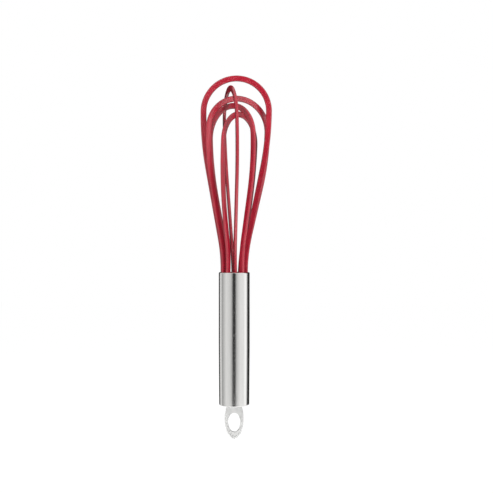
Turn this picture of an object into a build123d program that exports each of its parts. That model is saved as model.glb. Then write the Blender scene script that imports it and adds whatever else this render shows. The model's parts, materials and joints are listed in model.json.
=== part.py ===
"""Balloon whisk: five nested silicone-covered loops in a round steel handle with a hanging eye.

Units are millimetres.  +Z runs along the handle axis towards the loops, the largest loop
lies close to the XZ plane, and the origin is the middle of the handle's grip.
"""
import os
from math import atan2, cos, sin, tan

from build123d import *

# ---- driving dimensions -----------------------------------------------------------------
# handle tube
HANDLE_LENGTH = 92.4
HANDLE_RADIUS = 10.8
FOOT_RADIUS = 10.5          # outer radius at the hanging end, after a slight taper
STRAIGHT_LENGTH = 52.0      # full-diameter stretch below the mouth
WALL = 0.9
MOUTH_ROUND = 0.7
FOOT_ROUND = 0.5

# ribbons: a silicone strap standing on edge, moulded over a round spring wire
RIBBON_WIDTH = 4.1          # along the loop's radius
RIBBON_THICKNESS = 2.0      # across the loop's plane
RIBBON_ROUND = 0.85
WIRE_RADIUS = 0.6

# leg of a loop, heights above the handle mouth
LOWER_CORNER = 12.0         # where the leg turns outwards
LOWER_TANGENT = 11.5        # half of that bend's length

# parts inside the mouth, depths below it
HOLDER_RECESS = 0.8
SLEEVE_DEPTH = 8.8          # lower ends of the silicone
DISC_THICKNESS = 1.6
WIRE_DEPTH = 14.0           # lower ends of the wires
POTTING_DEPTH = 20.0
WELL_DEPTH = 26.0           # how far loops are drawn before they are trimmed

# hanging end
EYE_THICKNESS = 1.4
EYE_EDGE_ROUND = 0.3
EYE_HALF_WIDTH = 6.6
EYE_HALF_HEIGHT = 14.0
EYE_REACH = 24.0            # below the handle
EYE_HOLE_HALF_WIDTH = 4.25
EYE_HOLE_HALF_HEIGHT = 6.6
EYE_HOLE_RISE = 11.4        # hole centre above the lowest point of the eye
TANG_HALF_WIDTH = 4.5
TANG_RISE = 9.0
CAP_THICKNESS = 1.5
SKIRT_HEIGHT = 6.0
SKIRT_WALL = 1.2

# one entry per loop, largest first: half-width and height of the centreline, how far its
# two roots stand from the axis, half the length of its upper bend, the angle of its plane
# about the axis, its lean within that plane and its tilt out of it, in degrees
LOOPS = [
    dict(half_width=22.95, height=135.6, root=7.5, bend=20.0, angle=3.0, lean=0.7, tilt=0.0),
    dict(half_width=22.15, height=127.6, root=3.9, bend=21.0, angle=77.5, lean=1.6, tilt=-1.8),
    dict(half_width=22.15, height=121.2, root=7.5, bend=20.0, angle=-23.3, lean=1.4, tilt=-1.2),
    dict(half_width=21.50, height=115.8, root=7.5, bend=20.0, angle=45.0, lean=0.0, tilt=-1.8),
    dict(half_width=19.80, height=110.1, root=7.5, bend=30.0, angle=-56.5, lean=0.9, tilt=-2.4),
]

MOUTH_Z = HANDLE_LENGTH / 2
FOOT_Z = -HANDLE_LENGTH / 2
TAPER_Z = MOUTH_Z - STRAIGHT_LENGTH
BORE_RADIUS = HANDLE_RADIUS - WALL
SLEEVE_END_Z = MOUTH_Z - SLEEVE_DEPTH
DISC_BOTTOM_Z = SLEEVE_END_Z - DISC_THICKNESS
WIRE_END_Z = MOUTH_Z - WIRE_DEPTH
EYE_BOTTOM_Z = FOOT_Z - EYE_REACH


def bore_radius(z):
    """Inner radius of the handle tube at a height in its tapered stretch."""
    slope = (HANDLE_RADIUS - FOOT_RADIUS) / (TAPER_Z - FOOT_Z)
    return FOOT_RADIUS - WALL + slope * (z - FOOT_Z)


def loop_plane(loop):
    """Plane of one loop: x across the loop, y up it, origin on the axis at the mouth."""
    turned = Location((0, 0, MOUTH_Z), (0, 0, -loop["angle"]))
    tilted = Location((0, 0, 0), (-loop["tilt"], 0, 0))
    leaned = Location((0, 0, 0), (0, loop["lean"], 0))
    return Plane(turned * tilted * leaned * Plane.XZ.location)


def loop_path(loop):
    """Centreline of one loop: straight roots, two gentle bends a leg, a half circle on top."""
    half_width, root, bend = loop["half_width"], loop["root"], loop["bend"]
    shoulder = loop["height"] - half_width
    upper_corner = shoulder - bend
    flare = atan2(half_width - root, upper_corner - LOWER_CORNER)
    with BuildLine(loop_plane(loop)) as path:
        for side in (1, -1):
            bend_start = (side * root, LOWER_CORNER - LOWER_TANGENT)
            bend_end = (
                side * (root + LOWER_TANGENT * sin(flare)),
                LOWER_CORNER + LOWER_TANGENT * cos(flare),
            )
            rise_end = (
                side * (half_width - bend * sin(flare)),
                upper_corner - bend * cos(flare),
            )
            top = (side * half_width, shoulder)
            Line((side * root, -WELL_DEPTH), bend_start)
            RadiusArc(bend_start, bend_end, side * LOWER_TANGENT / tan(flare / 2))
            Line(bend_end, rise_end)
            RadiusArc(rise_end, top, -side * bend / tan(flare / 2))
        ThreePointArc((half_width, shoulder), (0, loop["height"]), (-half_width, shoulder))
    return path.wires()[0]


def root_plane(loop, path):
    """Plane square to the start of a loop's centreline, x along the loop's radius."""
    return Plane(origin=path @ 0, x_dir=loop_plane(loop).x_dir, z_dir=path % 0)


os.makedirs("parts", exist_ok=True)

# ---- the five loops: spring wires and the silicone moulded over them --------------------
sleeves = []
wires = []
for number, loop in enumerate(LOOPS, start=1):
    centreline = loop_path(loop)

    with BuildPart() as core_wire:
        with BuildSketch(root_plane(loop, centreline)):
            Circle(WIRE_RADIUS)
        sweep(path=centreline)
        split(bisect_by=Plane.XY.offset(WIRE_END_Z), keep=Keep.TOP)
    core_wire.part.label = f"core_wire_{number}"
    export_step(core_wire.part, f"parts/core_wire_{number}.step")
    wires.append(core_wire)

    with BuildPart() as loop_sleeve:
        with BuildSketch(root_plane(loop, centreline)):
            RectangleRounded(RIBBON_WIDTH, RIBBON_THICKNESS, RIBBON_ROUND)
            Circle(WIRE_RADIUS, mode=Mode.SUBTRACT)
        sweep(path=centreline)
        split(bisect_by=Plane.XY.offset(SLEEVE_END_Z), keep=Keep.TOP)
    loop_sleeve.part.label = f"loop_sleeve_{number}"
    export_step(loop_sleeve.part, f"parts/loop_sleeve_{number}.step")
    sleeves.append(loop_sleeve)

# ---- handle tube ------------------------------------------------------------------------
with BuildPart() as handle_tube:
    with BuildSketch(Plane.XZ) as wall_profile:
        with BuildLine():
            Polyline(
                (HANDLE_RADIUS, MOUTH_Z),
                (HANDLE_RADIUS, TAPER_Z),
                (FOOT_RADIUS, FOOT_Z),
                (FOOT_RADIUS - WALL, FOOT_Z),
                (BORE_RADIUS, TAPER_Z),
                (BORE_RADIUS, MOUTH_Z),
                close=True,
            )
        make_face()
        mouth_corner = wall_profile.vertices().group_by(Axis.Y)[-1].sort_by(Axis.X)[-1]
        fillet(mouth_corner, MOUTH_ROUND)
        foot_corner = wall_profile.vertices().group_by(Axis.Y)[0].sort_by(Axis.X)[-1]
        fillet(foot_corner, FOOT_ROUND)
    revolve(axis=Axis.Z)
handle_tube.part.label = "handle_tube"
export_step(handle_tube.part, "parts/handle_tube.step")

# ---- parts that hold the loops inside the mouth -----------------------------------------
with BuildPart() as wire_holder:
    with BuildSketch(Plane.XY.offset(SLEEVE_END_Z)):
        Circle(BORE_RADIUS)
    extrude(amount=SLEEVE_DEPTH - HOLDER_RECESS)
    for piece in sleeves + wires:
        add(piece.part, mode=Mode.SUBTRACT)
wire_holder.part.label = "wire_holder"
export_step(wire_holder.part, "parts/wire_holder.step")

with BuildPart() as retaining_disc:
    with BuildSketch(Plane.XY.offset(DISC_BOTTOM_Z)):
        Circle(BORE_RADIUS)
    extrude(amount=DISC_THICKNESS)
    for piece in wires:
        add(piece.part, mode=Mode.SUBTRACT)
retaining_disc.part.label = "retaining_disc"
export_step(retaining_disc.part, "parts/retaining_disc.step")

with BuildPart() as potting_fill:
    with BuildSketch(Plane.XY.offset(MOUTH_Z - POTTING_DEPTH)):
        Circle(BORE_RADIUS)
    extrude(amount=POTTING_DEPTH - SLEEVE_DEPTH - DISC_THICKNESS)
    for piece in wires:
        add(piece.part, mode=Mode.SUBTRACT)
potting_fill.part.label = "potting_fill"
export_step(potting_fill.part, "parts/potting_fill.step")

# ---- hanging end: a cupped cap, and a flat eye whose tang passes through it --------------
with BuildPart() as hanging_eye:
    with BuildSketch(Plane.XZ):
        with Locations((0, EYE_BOTTOM_Z + EYE_HALF_HEIGHT)):
            Ellipse(EYE_HALF_WIDTH, EYE_HALF_HEIGHT)
        with Locations((0, FOOT_Z)):
            Rectangle(
                2 * EYE_HALF_WIDTH,
                2 * EYE_HALF_HEIGHT,
                align=(Align.CENTER, Align.MIN),
                mode=Mode.SUBTRACT,
            )
            Rectangle(2 * TANG_HALF_WIDTH, TANG_RISE, align=(Align.CENTER, Align.MIN))
        with Locations((0, EYE_BOTTOM_Z + EYE_HOLE_RISE)):
            Ellipse(EYE_HOLE_HALF_WIDTH, EYE_HOLE_HALF_HEIGHT, mode=Mode.SUBTRACT)
    extrude(amount=EYE_THICKNESS / 2, both=True)
    flats = hanging_eye.faces().filter_by(Axis.Y)
    fillet(flats.edges(), EYE_EDGE_ROUND)
hanging_eye.part.label = "hanging_eye"
export_step(hanging_eye.part, "parts/hanging_eye.step")

with BuildPart() as end_cap:
    with BuildSketch(Plane.XZ):
        with BuildLine():
            Polyline(
                (0, FOOT_Z),
                (bore_radius(FOOT_Z), FOOT_Z),
                (bore_radius(FOOT_Z + SKIRT_HEIGHT), FOOT_Z + SKIRT_HEIGHT),
                (bore_radius(FOOT_Z) - SKIRT_WALL, FOOT_Z + SKIRT_HEIGHT),
                (bore_radius(FOOT_Z) - SKIRT_WALL, FOOT_Z + CAP_THICKNESS),
                (0, FOOT_Z + CAP_THICKNESS),
                close=True,
            )
        make_face()
    revolve(axis=Axis.Z)
    add(hanging_eye.part, mode=Mode.SUBTRACT)
end_cap.part.label = "end_cap"
export_step(end_cap.part, "parts/end_cap.step")
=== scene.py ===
"""Balloon whisk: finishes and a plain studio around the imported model."""
import json
import math

import bpy
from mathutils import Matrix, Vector

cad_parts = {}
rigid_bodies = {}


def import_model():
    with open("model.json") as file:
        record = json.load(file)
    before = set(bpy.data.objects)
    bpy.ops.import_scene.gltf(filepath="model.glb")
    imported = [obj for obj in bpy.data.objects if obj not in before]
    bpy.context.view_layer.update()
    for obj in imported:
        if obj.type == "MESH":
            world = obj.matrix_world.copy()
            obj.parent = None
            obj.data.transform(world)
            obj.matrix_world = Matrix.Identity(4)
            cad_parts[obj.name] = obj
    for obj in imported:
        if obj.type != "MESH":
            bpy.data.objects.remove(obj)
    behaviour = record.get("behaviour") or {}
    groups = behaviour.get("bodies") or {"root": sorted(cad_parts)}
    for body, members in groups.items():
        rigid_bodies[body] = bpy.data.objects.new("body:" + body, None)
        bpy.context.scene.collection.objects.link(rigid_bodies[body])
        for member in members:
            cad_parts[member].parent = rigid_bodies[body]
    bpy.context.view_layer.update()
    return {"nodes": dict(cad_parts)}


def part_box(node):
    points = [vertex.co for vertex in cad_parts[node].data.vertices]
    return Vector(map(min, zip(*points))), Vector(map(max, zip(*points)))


bl_info = {
    "name": "Balloon whisk",
    "version": (1, 0, 0),
    "blender": (4, 5, 0),
    "location": "3D View > Sidebar > Whisk",
    "description": "Finishes a silicone balloon whisk and sets it in a plain studio",
    "category": "Object",
}

# the file starts empty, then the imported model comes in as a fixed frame
bpy.ops.object.select_all(action="SELECT")
bpy.ops.object.delete()
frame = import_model()

MM = 0.001
LOOP_COUNT = 5
STRAPS = [f"loop_sleeve_{number}" for number in range(1, LOOP_COUNT + 1)]
WIRES = [f"core_wire_{number}" for number in range(1, LOOP_COUNT + 1)]

MOUTH_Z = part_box("handle_tube")[1].z
EYE_BOTTOM_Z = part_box("hanging_eye")[0].z

SILICONE_SPECULAR = 0.85


# ---- settings ---------------------------------------------------------------------------
class WhiskFinishes(bpy.types.PropertyGroup):
    silicone: bpy.props.FloatVectorProperty(
        name="Silicone", description="Colour of the moulded straps",
        subtype="COLOR", size=3, min=0.0, max=1.0, default=(0.20, 0.006, 0.015),
    )
    silicone_roughness: bpy.props.FloatProperty(
        name="Silicone roughness", description="How satin the straps are",
        subtype="FACTOR", min=0.0, max=1.0, default=0.18,
    )
    tube_steel: bpy.props.FloatVectorProperty(
        name="Tube steel", description="Colour of the handle tube",
        subtype="COLOR", size=3, min=0.0, max=1.0, default=(0.74, 0.735, 0.72),
    )
    tube_roughness: bpy.props.FloatProperty(
        name="Tube roughness", description="How far the brushing blurs reflections",
        subtype="FACTOR", min=0.0, max=1.0, default=0.15,
    )
    plate_steel: bpy.props.FloatVectorProperty(
        name="Plate steel", description="Colour of the hanging eye",
        subtype="COLOR", size=3, min=0.0, max=1.0, default=(0.75, 0.75, 0.74),
    )
    plate_roughness: bpy.props.FloatProperty(
        name="Plate roughness", description="How matt the tumbled plate is",
        subtype="FACTOR", min=0.0, max=1.0, default=0.52,
    )


class WhiskStudio(bpy.types.PropertyGroup):
    camera_distance: bpy.props.FloatProperty(
        name="Camera distance", description="From the handle's axis to the camera",
        unit="LENGTH", min=0.1, default=0.525,
    )
    camera_side: bpy.props.FloatProperty(
        name="Camera side", description="How far the camera stands to the right of the axis",
        unit="LENGTH", default=0.0086,
    )
    camera_rise: bpy.props.FloatProperty(
        name="Camera rise", description="Height of the camera above the handle's mouth",
        unit="LENGTH", default=0.0180,
    )
    focal_length: bpy.props.FloatProperty(
        name="Focal length", description="Lens, in millimetres on a 36 mm sensor",
        min=10.0, default=54.77,
    )
    floor_drop: bpy.props.FloatProperty(
        name="Floor drop", description="How far the floor lies below the hanging eye",
        unit="LENGTH", min=0.0, default=0.22,
    )
    key_power: bpy.props.FloatProperty(
        name="Key power", description="Power of each front soft box",
        unit="POWER", min=0.0, default=14.0,
    )
    world_level: bpy.props.FloatProperty(
        name="World level", description="Even light from all round",
        min=0.0, default=0.22,
    )


# ---- material helpers -------------------------------------------------------------------
def new_material(name):
    """A fresh node material, its Principled shader and its Object coordinates."""
    material = bpy.data.materials.new(name)
    material.use_nodes = True
    tree = material.node_tree
    shader = tree.nodes["Principled BSDF"]
    coordinates = tree.nodes.new("ShaderNodeTexCoord")
    return material, tree, shader, coordinates.outputs["Object"]


def noise(tree, vector, stretch, detail=4.0, roughness=0.55):
    """Noise with its own scale along each axis, in cells per metre."""
    mapping = tree.nodes.new("ShaderNodeMapping")
    mapping.inputs["Scale"].default_value = stretch
    tree.links.new(vector, mapping.inputs["Vector"])
    texture = tree.nodes.new("ShaderNodeTexNoise")
    texture.inputs["Scale"].default_value = 1.0
    texture.inputs["Detail"].default_value = detail
    texture.inputs["Roughness"].default_value = roughness
    tree.links.new(mapping.outputs["Vector"], texture.inputs["Vector"])
    return texture.outputs["Fac"]


def spread(tree, value, low, high, from_low=0.3, from_high=0.7):
    """A value remapped to a range."""
    remap = tree.nodes.new("ShaderNodeMapRange")
    remap.inputs["From Min"].default_value = from_low
    remap.inputs["From Max"].default_value = from_high
    remap.inputs["To Min"].default_value = low
    remap.inputs["To Max"].default_value = high
    tree.links.new(value, remap.inputs["Value"])
    return remap.outputs["Result"]


def blend_colours(tree, factor, first, second):
    """A mix of two colours by a factor between 0 and 1."""
    mix = tree.nodes.new("ShaderNodeMix")
    mix.data_type = "RGBA"
    mix.inputs["A"].default_value = (*first, 1.0)
    mix.inputs["B"].default_value = (*second, 1.0)
    tree.links.new(factor, mix.inputs["Factor"])
    return mix.outputs["Result"]


def bump(tree, height, strength, distance, below=None):
    """A bump of a height, on top of another bump if one is given."""
    node = tree.nodes.new("ShaderNodeBump")
    node.inputs["Strength"].default_value = strength
    node.inputs["Distance"].default_value = distance
    tree.links.new(height, node.inputs["Height"])
    if below is not None:
        tree.links.new(below, node.inputs["Normal"])
    return node.outputs["Normal"]


def shade_of(colour, factor):
    """The same colour, lighter or darker."""
    return tuple(min(1.0, channel * factor) for channel in colour)


def dress(node, material):
    """Gives a CAD node one material."""
    target = frame["nodes"][node]
    target.data.materials.clear()
    target.data.materials.append(material)


# ---- finishes ---------------------------------------------------------------------------
def silicone_finish(finishes):
    """Moulded silicone: satin, with a faint mottle and the fine tooth of the mould."""
    material, tree, shader, place = new_material("red_silicone")
    mottle = noise(tree, place, (90.0, 90.0, 45.0))
    tone = spread(tree, mottle, 0.0, 1.0)
    base = tuple(finishes.silicone)
    colour = blend_colours(tree, tone, shade_of(base, 0.88), shade_of(base, 1.12))
    tree.links.new(colour, shader.inputs["Base Color"])
    shader.inputs["Specular IOR Level"].default_value = SILICONE_SPECULAR
    level = finishes.silicone_roughness
    cloud = noise(tree, place, (260.0, 260.0, 120.0), detail=3.0)
    tree.links.new(spread(tree, cloud, level - 0.06, level + 0.08), shader.inputs["Roughness"])
    tooth = noise(tree, place, (4200.0, 4200.0, 4200.0), detail=2.0)
    waves = noise(tree, place, (140.0, 140.0, 140.0), detail=1.0)
    coarse = bump(tree, waves, 0.12, 0.3 * MM)
    tree.links.new(bump(tree, tooth, 0.08, 0.02 * MM, coarse), shader.inputs["Normal"])
    return material


def tube_finish(finishes):
    """Stainless tube brushed lengthwise, duller in some bands along it than in others."""
    material, tree, shader, place = new_material("satin_steel")
    shader.inputs["Metallic"].default_value = 1.0
    streaks = noise(tree, place, (5200.0, 5200.0, 26.0), detail=5.0, roughness=0.65)
    bands = noise(tree, place, (900.0, 900.0, 9.0), detail=3.0)
    base = tuple(finishes.tube_steel)
    tone = spread(tree, streaks, 0.0, 1.0)
    colour = blend_colours(tree, tone, shade_of(base, 0.95), shade_of(base, 1.03))
    tree.links.new(colour, shader.inputs["Base Color"])
    level = finishes.tube_roughness
    tree.links.new(spread(tree, bands, level - 0.03, level + 0.05), shader.inputs["Roughness"])
    fine = bump(tree, streaks, 0.10, 0.02 * MM)
    tree.links.new(fine, shader.inputs["Normal"])
    return material


def plate_finish(finishes):
    """Stamped steel, tumbled to an even matt grey."""
    material, tree, shader, place = new_material("plate_steel")
    shader.inputs["Metallic"].default_value = 1.0
    grain = noise(tree, place, (2600.0, 2600.0, 2600.0), detail=4.0)
    patches = noise(tree, place, (220.0, 220.0, 220.0), detail=3.0)
    base = tuple(finishes.plate_steel)
    colour = blend_colours(
        tree, spread(tree, patches, 0.0, 1.0), shade_of(base, 0.93), shade_of(base, 1.05)
    )
    tree.links.new(colour, shader.inputs["Base Color"])
    level = finishes.plate_roughness
    tree.links.new(spread(tree, grain, level - 0.08, level + 0.08), shader.inputs["Roughness"])
    tree.links.new(bump(tree, grain, 0.15, 0.03 * MM), shader.inputs["Normal"])
    return material


def wire_finish():
    """Drawn spring wire, with die lines along it."""
    material, tree, shader, place = new_material("spring_steel")
    shader.inputs["Metallic"].default_value = 1.0
    lines = noise(tree, place, (6000.0, 6000.0, 60.0), detail=3.0)
    colour = blend_colours(
        tree, spread(tree, lines, 0.0, 1.0), (0.44, 0.43, 0.42), (0.58, 0.57, 0.56)
    )
    tree.links.new(colour, shader.inputs["Base Color"])
    tree.links.new(spread(tree, lines, 0.22, 0.36), shader.inputs["Roughness"])
    return material


def plastic_finish():
    """Moulded grey nylon with a fine spark-eroded texture."""
    material, tree, shader, place = new_material("holder_plastic")
    grain = noise(tree, place, (3800.0, 3800.0, 3800.0), detail=3.0)
    colour = blend_colours(
        tree, spread(tree, grain, 0.0, 1.0), (0.035, 0.035, 0.037), (0.055, 0.055, 0.058)
    )
    tree.links.new(colour, shader.inputs["Base Color"])
    tree.links.new(spread(tree, grain, 0.45, 0.65), shader.inputs["Roughness"])
    tree.links.new(bump(tree, grain, 0.2, 0.05 * MM), shader.inputs["Normal"])
    return material


def resin_finish():
    """Cast epoxy, slightly cloudy."""
    material, tree, shader, place = new_material("potting_resin")
    cloud = noise(tree, place, (300.0, 300.0, 300.0), detail=3.0)
    colour = blend_colours(
        tree, spread(tree, cloud, 0.0, 1.0), (0.46, 0.40, 0.27), (0.60, 0.54, 0.40)
    )
    tree.links.new(colour, shader.inputs["Base Color"])
    tree.links.new(spread(tree, cloud, 0.12, 0.25), shader.inputs["Roughness"])
    return material


# ---- studio -----------------------------------------------------------------------------
# grey of the studio surround by compass angle: 0 is behind the camera, 90 to its right
SURROUND = (
    (-160, 0.02), (-136, 0.04), (-126, 0.90), (-114, 0.95), (-104, 0.44), (-84, 0.60),
    (-62, 0.92), (-32, 0.80), (-18, 0.55), (-8, 0.03), (7, 0.03), (19, 0.60), (42, 0.95),
    (76, 1.00), (90, 1.30), (106, 1.10), (114, 0.25), (122, 0.03), (160, 0.02),
)
SURROUND_RADIUS = 0.8
SURROUND_HEIGHT = 2.4
SURROUND_SIDES = 96

FLOOR_SIZE = 8.0
FLOOR_GREY = 0.9
PAPER_SHARE = 0.9           # how much of what the camera sees of the floor is plain paper
PAPER_LEVEL = 1.08

# each lamp's name, place, size and share of the key power
LAMPS = (
    ("left_soft_box", (-0.5, -1.0, 0.5), 0.6, 1.0),
    ("right_soft_box", (0.6, -0.9, 0.4), 0.6, 1.3),
    ("back_soft_box", (0.1, 0.9, 0.9), 0.8, 0.6),
)
LAMP_AIM = Vector((0.0, 0.0, 0.05))
SENSOR_WIDTH = 36.0
CLIP_START = 0.01


def surround_material():
    """Emission whose grey runs round the wall from card to card."""
    material = bpy.data.materials.new("studio_surround")
    material.use_nodes = True
    tree = material.node_tree
    tree.nodes.clear()
    coordinates = tree.nodes.new("ShaderNodeTexCoord")
    angle = tree.nodes.new("ShaderNodeTexGradient")
    angle.gradient_type = "RADIAL"
    tree.links.new(coordinates.outputs["Object"], angle.inputs["Vector"])
    ramp = tree.nodes.new("ShaderNodeValToRGB")
    stops = sorted(((degrees / 360.0 + 0.25) % 1.0, grey) for degrees, grey in SURROUND)
    elements = ramp.color_ramp.elements
    # the ramp's own two ends are placed first, so that each new element sorts between them
    elements[0].position, elements[-1].position = stops[0][0], stops[-1][0]
    for position, grey in stops[1:-1]:
        elements.new(position)
    for element, (position, grey) in zip(elements, stops):
        element.position = position
        element.color = (grey, grey, grey, 1.0)
    tree.links.new(angle.outputs["Fac"], ramp.inputs["Fac"])
    glow = tree.nodes.new("ShaderNodeEmission")
    tree.links.new(ramp.outputs["Color"], glow.inputs["Color"])
    output = tree.nodes.new("ShaderNodeOutputMaterial")
    tree.links.new(glow.outputs["Emission"], output.inputs["Surface"])
    return material


def floor_material():
    """Matt white that the camera sees as white paper, with a soft shadow left in it."""
    material, tree, shader, _ = new_material("studio_floor")
    shader.inputs["Base Color"].default_value = (FLOOR_GREY, FLOOR_GREY, FLOOR_GREY, 1.0)
    shader.inputs["Roughness"].default_value = 0.9
    output = tree.nodes["Material Output"]
    path = tree.nodes.new("ShaderNodeLightPath")
    share = tree.nodes.new("ShaderNodeMath")
    share.operation = "MULTIPLY"
    share.inputs[1].default_value = PAPER_SHARE
    tree.links.new(path.outputs["Is Camera Ray"], share.inputs[0])
    paper = tree.nodes.new("ShaderNodeEmission")
    paper.inputs["Strength"].default_value = PAPER_LEVEL
    mix = tree.nodes.new("ShaderNodeMixShader")
    tree.links.new(share.outputs["Value"], mix.inputs["Fac"])
    tree.links.new(shader.outputs["BSDF"], mix.inputs[1])
    tree.links.new(paper.outputs["Emission"], mix.inputs[2])
    tree.links.new(mix.outputs["Shader"], output.inputs["Surface"])
    return material


def studio_world(level):
    """White where it is seen or mirrored, and a plain even light elsewhere."""
    world = bpy.data.worlds.new("studio_world")
    world.use_nodes = True
    tree = world.node_tree
    background = tree.nodes["Background"]
    background.inputs["Color"].default_value = (1.0, 1.0, 1.0, 1.0)
    path = tree.nodes.new("ShaderNodeLightPath")
    seen = path.outputs["Is Camera Ray"]
    for kind in ("Is Glossy Ray", "Is Transmission Ray"):
        either = tree.nodes.new("ShaderNodeMath")
        either.operation = "MAXIMUM"
        tree.links.new(seen, either.inputs[0])
        tree.links.new(path.outputs[kind], either.inputs[1])
        seen = either.outputs["Value"]
    strength = tree.nodes.new("ShaderNodeMapRange")
    strength.inputs["To Min"].default_value = level
    strength.inputs["To Max"].default_value = 1.0
    tree.links.new(seen, strength.inputs["Value"])
    tree.links.new(strength.outputs["Result"], background.inputs["Strength"])
    bpy.context.scene.world = world


def soft_box(name, place, size, power):
    """A square area lamp that faces the whisk and isn't mirrored in it."""
    bpy.ops.object.light_add(type="AREA", location=place)
    lamp = bpy.context.object
    lamp.name = name
    lamp.data.size = size
    lamp.data.energy = power
    lamp.rotation_euler = (LAMP_AIM - Vector(place)).to_track_quat("-Z", "Y").to_euler()
    lamp.visible_glossy = False


# ---- operators --------------------------------------------------------------------------
class WHISK_OT_loops(bpy.types.Operator):
    """Finishes the silicone straps and the spring wires in them"""

    bl_idname = "whisk.loops"
    bl_label = "Loops"

    def execute(self, context):
        silicone = silicone_finish(context.scene.whisk_finishes)
        wire = wire_finish()
        for strap in STRAPS:
            dress(strap, silicone)
        for core in WIRES:
            dress(core, wire)
        return {"FINISHED"}


class WHISK_OT_handle(bpy.types.Operator):
    """Finishes the handle tube and the cap in its lower end"""

    bl_idname = "whisk.handle"
    bl_label = "Handle"

    def execute(self, context):
        steel = tube_finish(context.scene.whisk_finishes)
        for node in ("handle_tube", "end_cap"):
            dress(node, steel)
        return {"FINISHED"}


class WHISK_OT_eye(bpy.types.Operator):
    """Finishes the hanging eye and the retaining disc"""

    bl_idname = "whisk.eye"
    bl_label = "Hanging eye"

    def execute(self, context):
        steel = plate_finish(context.scene.whisk_finishes)
        for node in ("hanging_eye", "retaining_disc"):
            dress(node, steel)
        return {"FINISHED"}


class WHISK_OT_mouth(bpy.types.Operator):
    """Finishes the plug in the handle's mouth and the potting under it"""

    bl_idname = "whisk.mouth"
    bl_label = "Mouth"

    def execute(self, context):
        dress("wire_holder", plastic_finish())
        dress("potting_fill", resin_finish())
        return {"FINISHED"}


class WHISK_OT_stage(bpy.types.Operator):
    """Sets up the floor, the surround, the lamps, the world and the camera"""

    bl_idname = "whisk.stage"
    bl_label = "Studio"

    def execute(self, context):
        studio = context.scene.whisk_studio
        bpy.ops.object.select_all(action="DESELECT")

        bpy.ops.mesh.primitive_plane_add(
            size=FLOOR_SIZE, location=(0.0, 0.0, EYE_BOTTOM_Z - studio.floor_drop)
        )
        floor = context.object
        floor.name = "studio_floor"
        floor.data.materials.append(floor_material())

        bpy.ops.mesh.primitive_cylinder_add(
            vertices=SURROUND_SIDES,
            radius=SURROUND_RADIUS,
            depth=SURROUND_HEIGHT,
            end_fill_type="NOTHING",
        )
        wall = context.object
        wall.name = "studio_surround"
        wall.data.materials.append(surround_material())
        wall.visible_camera = False
        wall.visible_diffuse = False
        wall.visible_transmission = False
        wall.visible_shadow = False

        for name, place, size, share in LAMPS:
            soft_box(name, place, size, studio.key_power * share)
        studio_world(studio.world_level)

        bpy.ops.object.camera_add(
            location=(
                studio.camera_side,
                -studio.camera_distance,
                MOUTH_Z + studio.camera_rise,
            ),
            rotation=(math.radians(90.0), 0.0, 0.0),
        )
        camera = context.object
        camera.name = "studio_camera"
        camera.data.lens = studio.focal_length
        camera.data.sensor_width = SENSOR_WIDTH
        camera.data.clip_start = CLIP_START
        context.scene.camera = camera
        context.scene.view_settings.view_transform = "Standard"
        return {"FINISHED"}


class WHISK_PT_panel(bpy.types.Panel):
    """The whisk's settings and steps"""

    bl_label = "Balloon whisk"
    bl_idname = "WHISK_PT_panel"
    bl_space_type = "VIEW_3D"
    bl_region_type = "UI"
    bl_category = "Whisk"

    def draw(self, context):
        layout = self.layout
        for group in (context.scene.whisk_finishes, context.scene.whisk_studio):
            box = layout.box()
            for name in group.__annotations__:
                box.prop(group, name)
        for operator in OPERATORS:
            layout.operator(operator.bl_idname)


OPERATORS = (
    WHISK_OT_loops,
    WHISK_OT_handle,
    WHISK_OT_eye,
    WHISK_OT_mouth,
    WHISK_OT_stage,
)
CLASSES = (WhiskFinishes, WhiskStudio, *OPERATORS, WHISK_PT_panel)


def register():
    for cls in CLASSES:
        bpy.utils.register_class(cls)
    bpy.types.Scene.whisk_finishes = bpy.props.PointerProperty(type=WhiskFinishes)
    bpy.types.Scene.whisk_studio = bpy.props.PointerProperty(type=WhiskStudio)


def unregister():
    del bpy.types.Scene.whisk_studio
    del bpy.types.Scene.whisk_finishes
    for cls in reversed(CLASSES):
        bpy.utils.unregister_class(cls)


def main():
    register()
    bpy.ops.whisk.stage()
    bpy.ops.whisk.loops()
    bpy.ops.whisk.handle()
    bpy.ops.whisk.eye()
    bpy.ops.whisk.mouth()


if __name__ == "__main__":
    main()
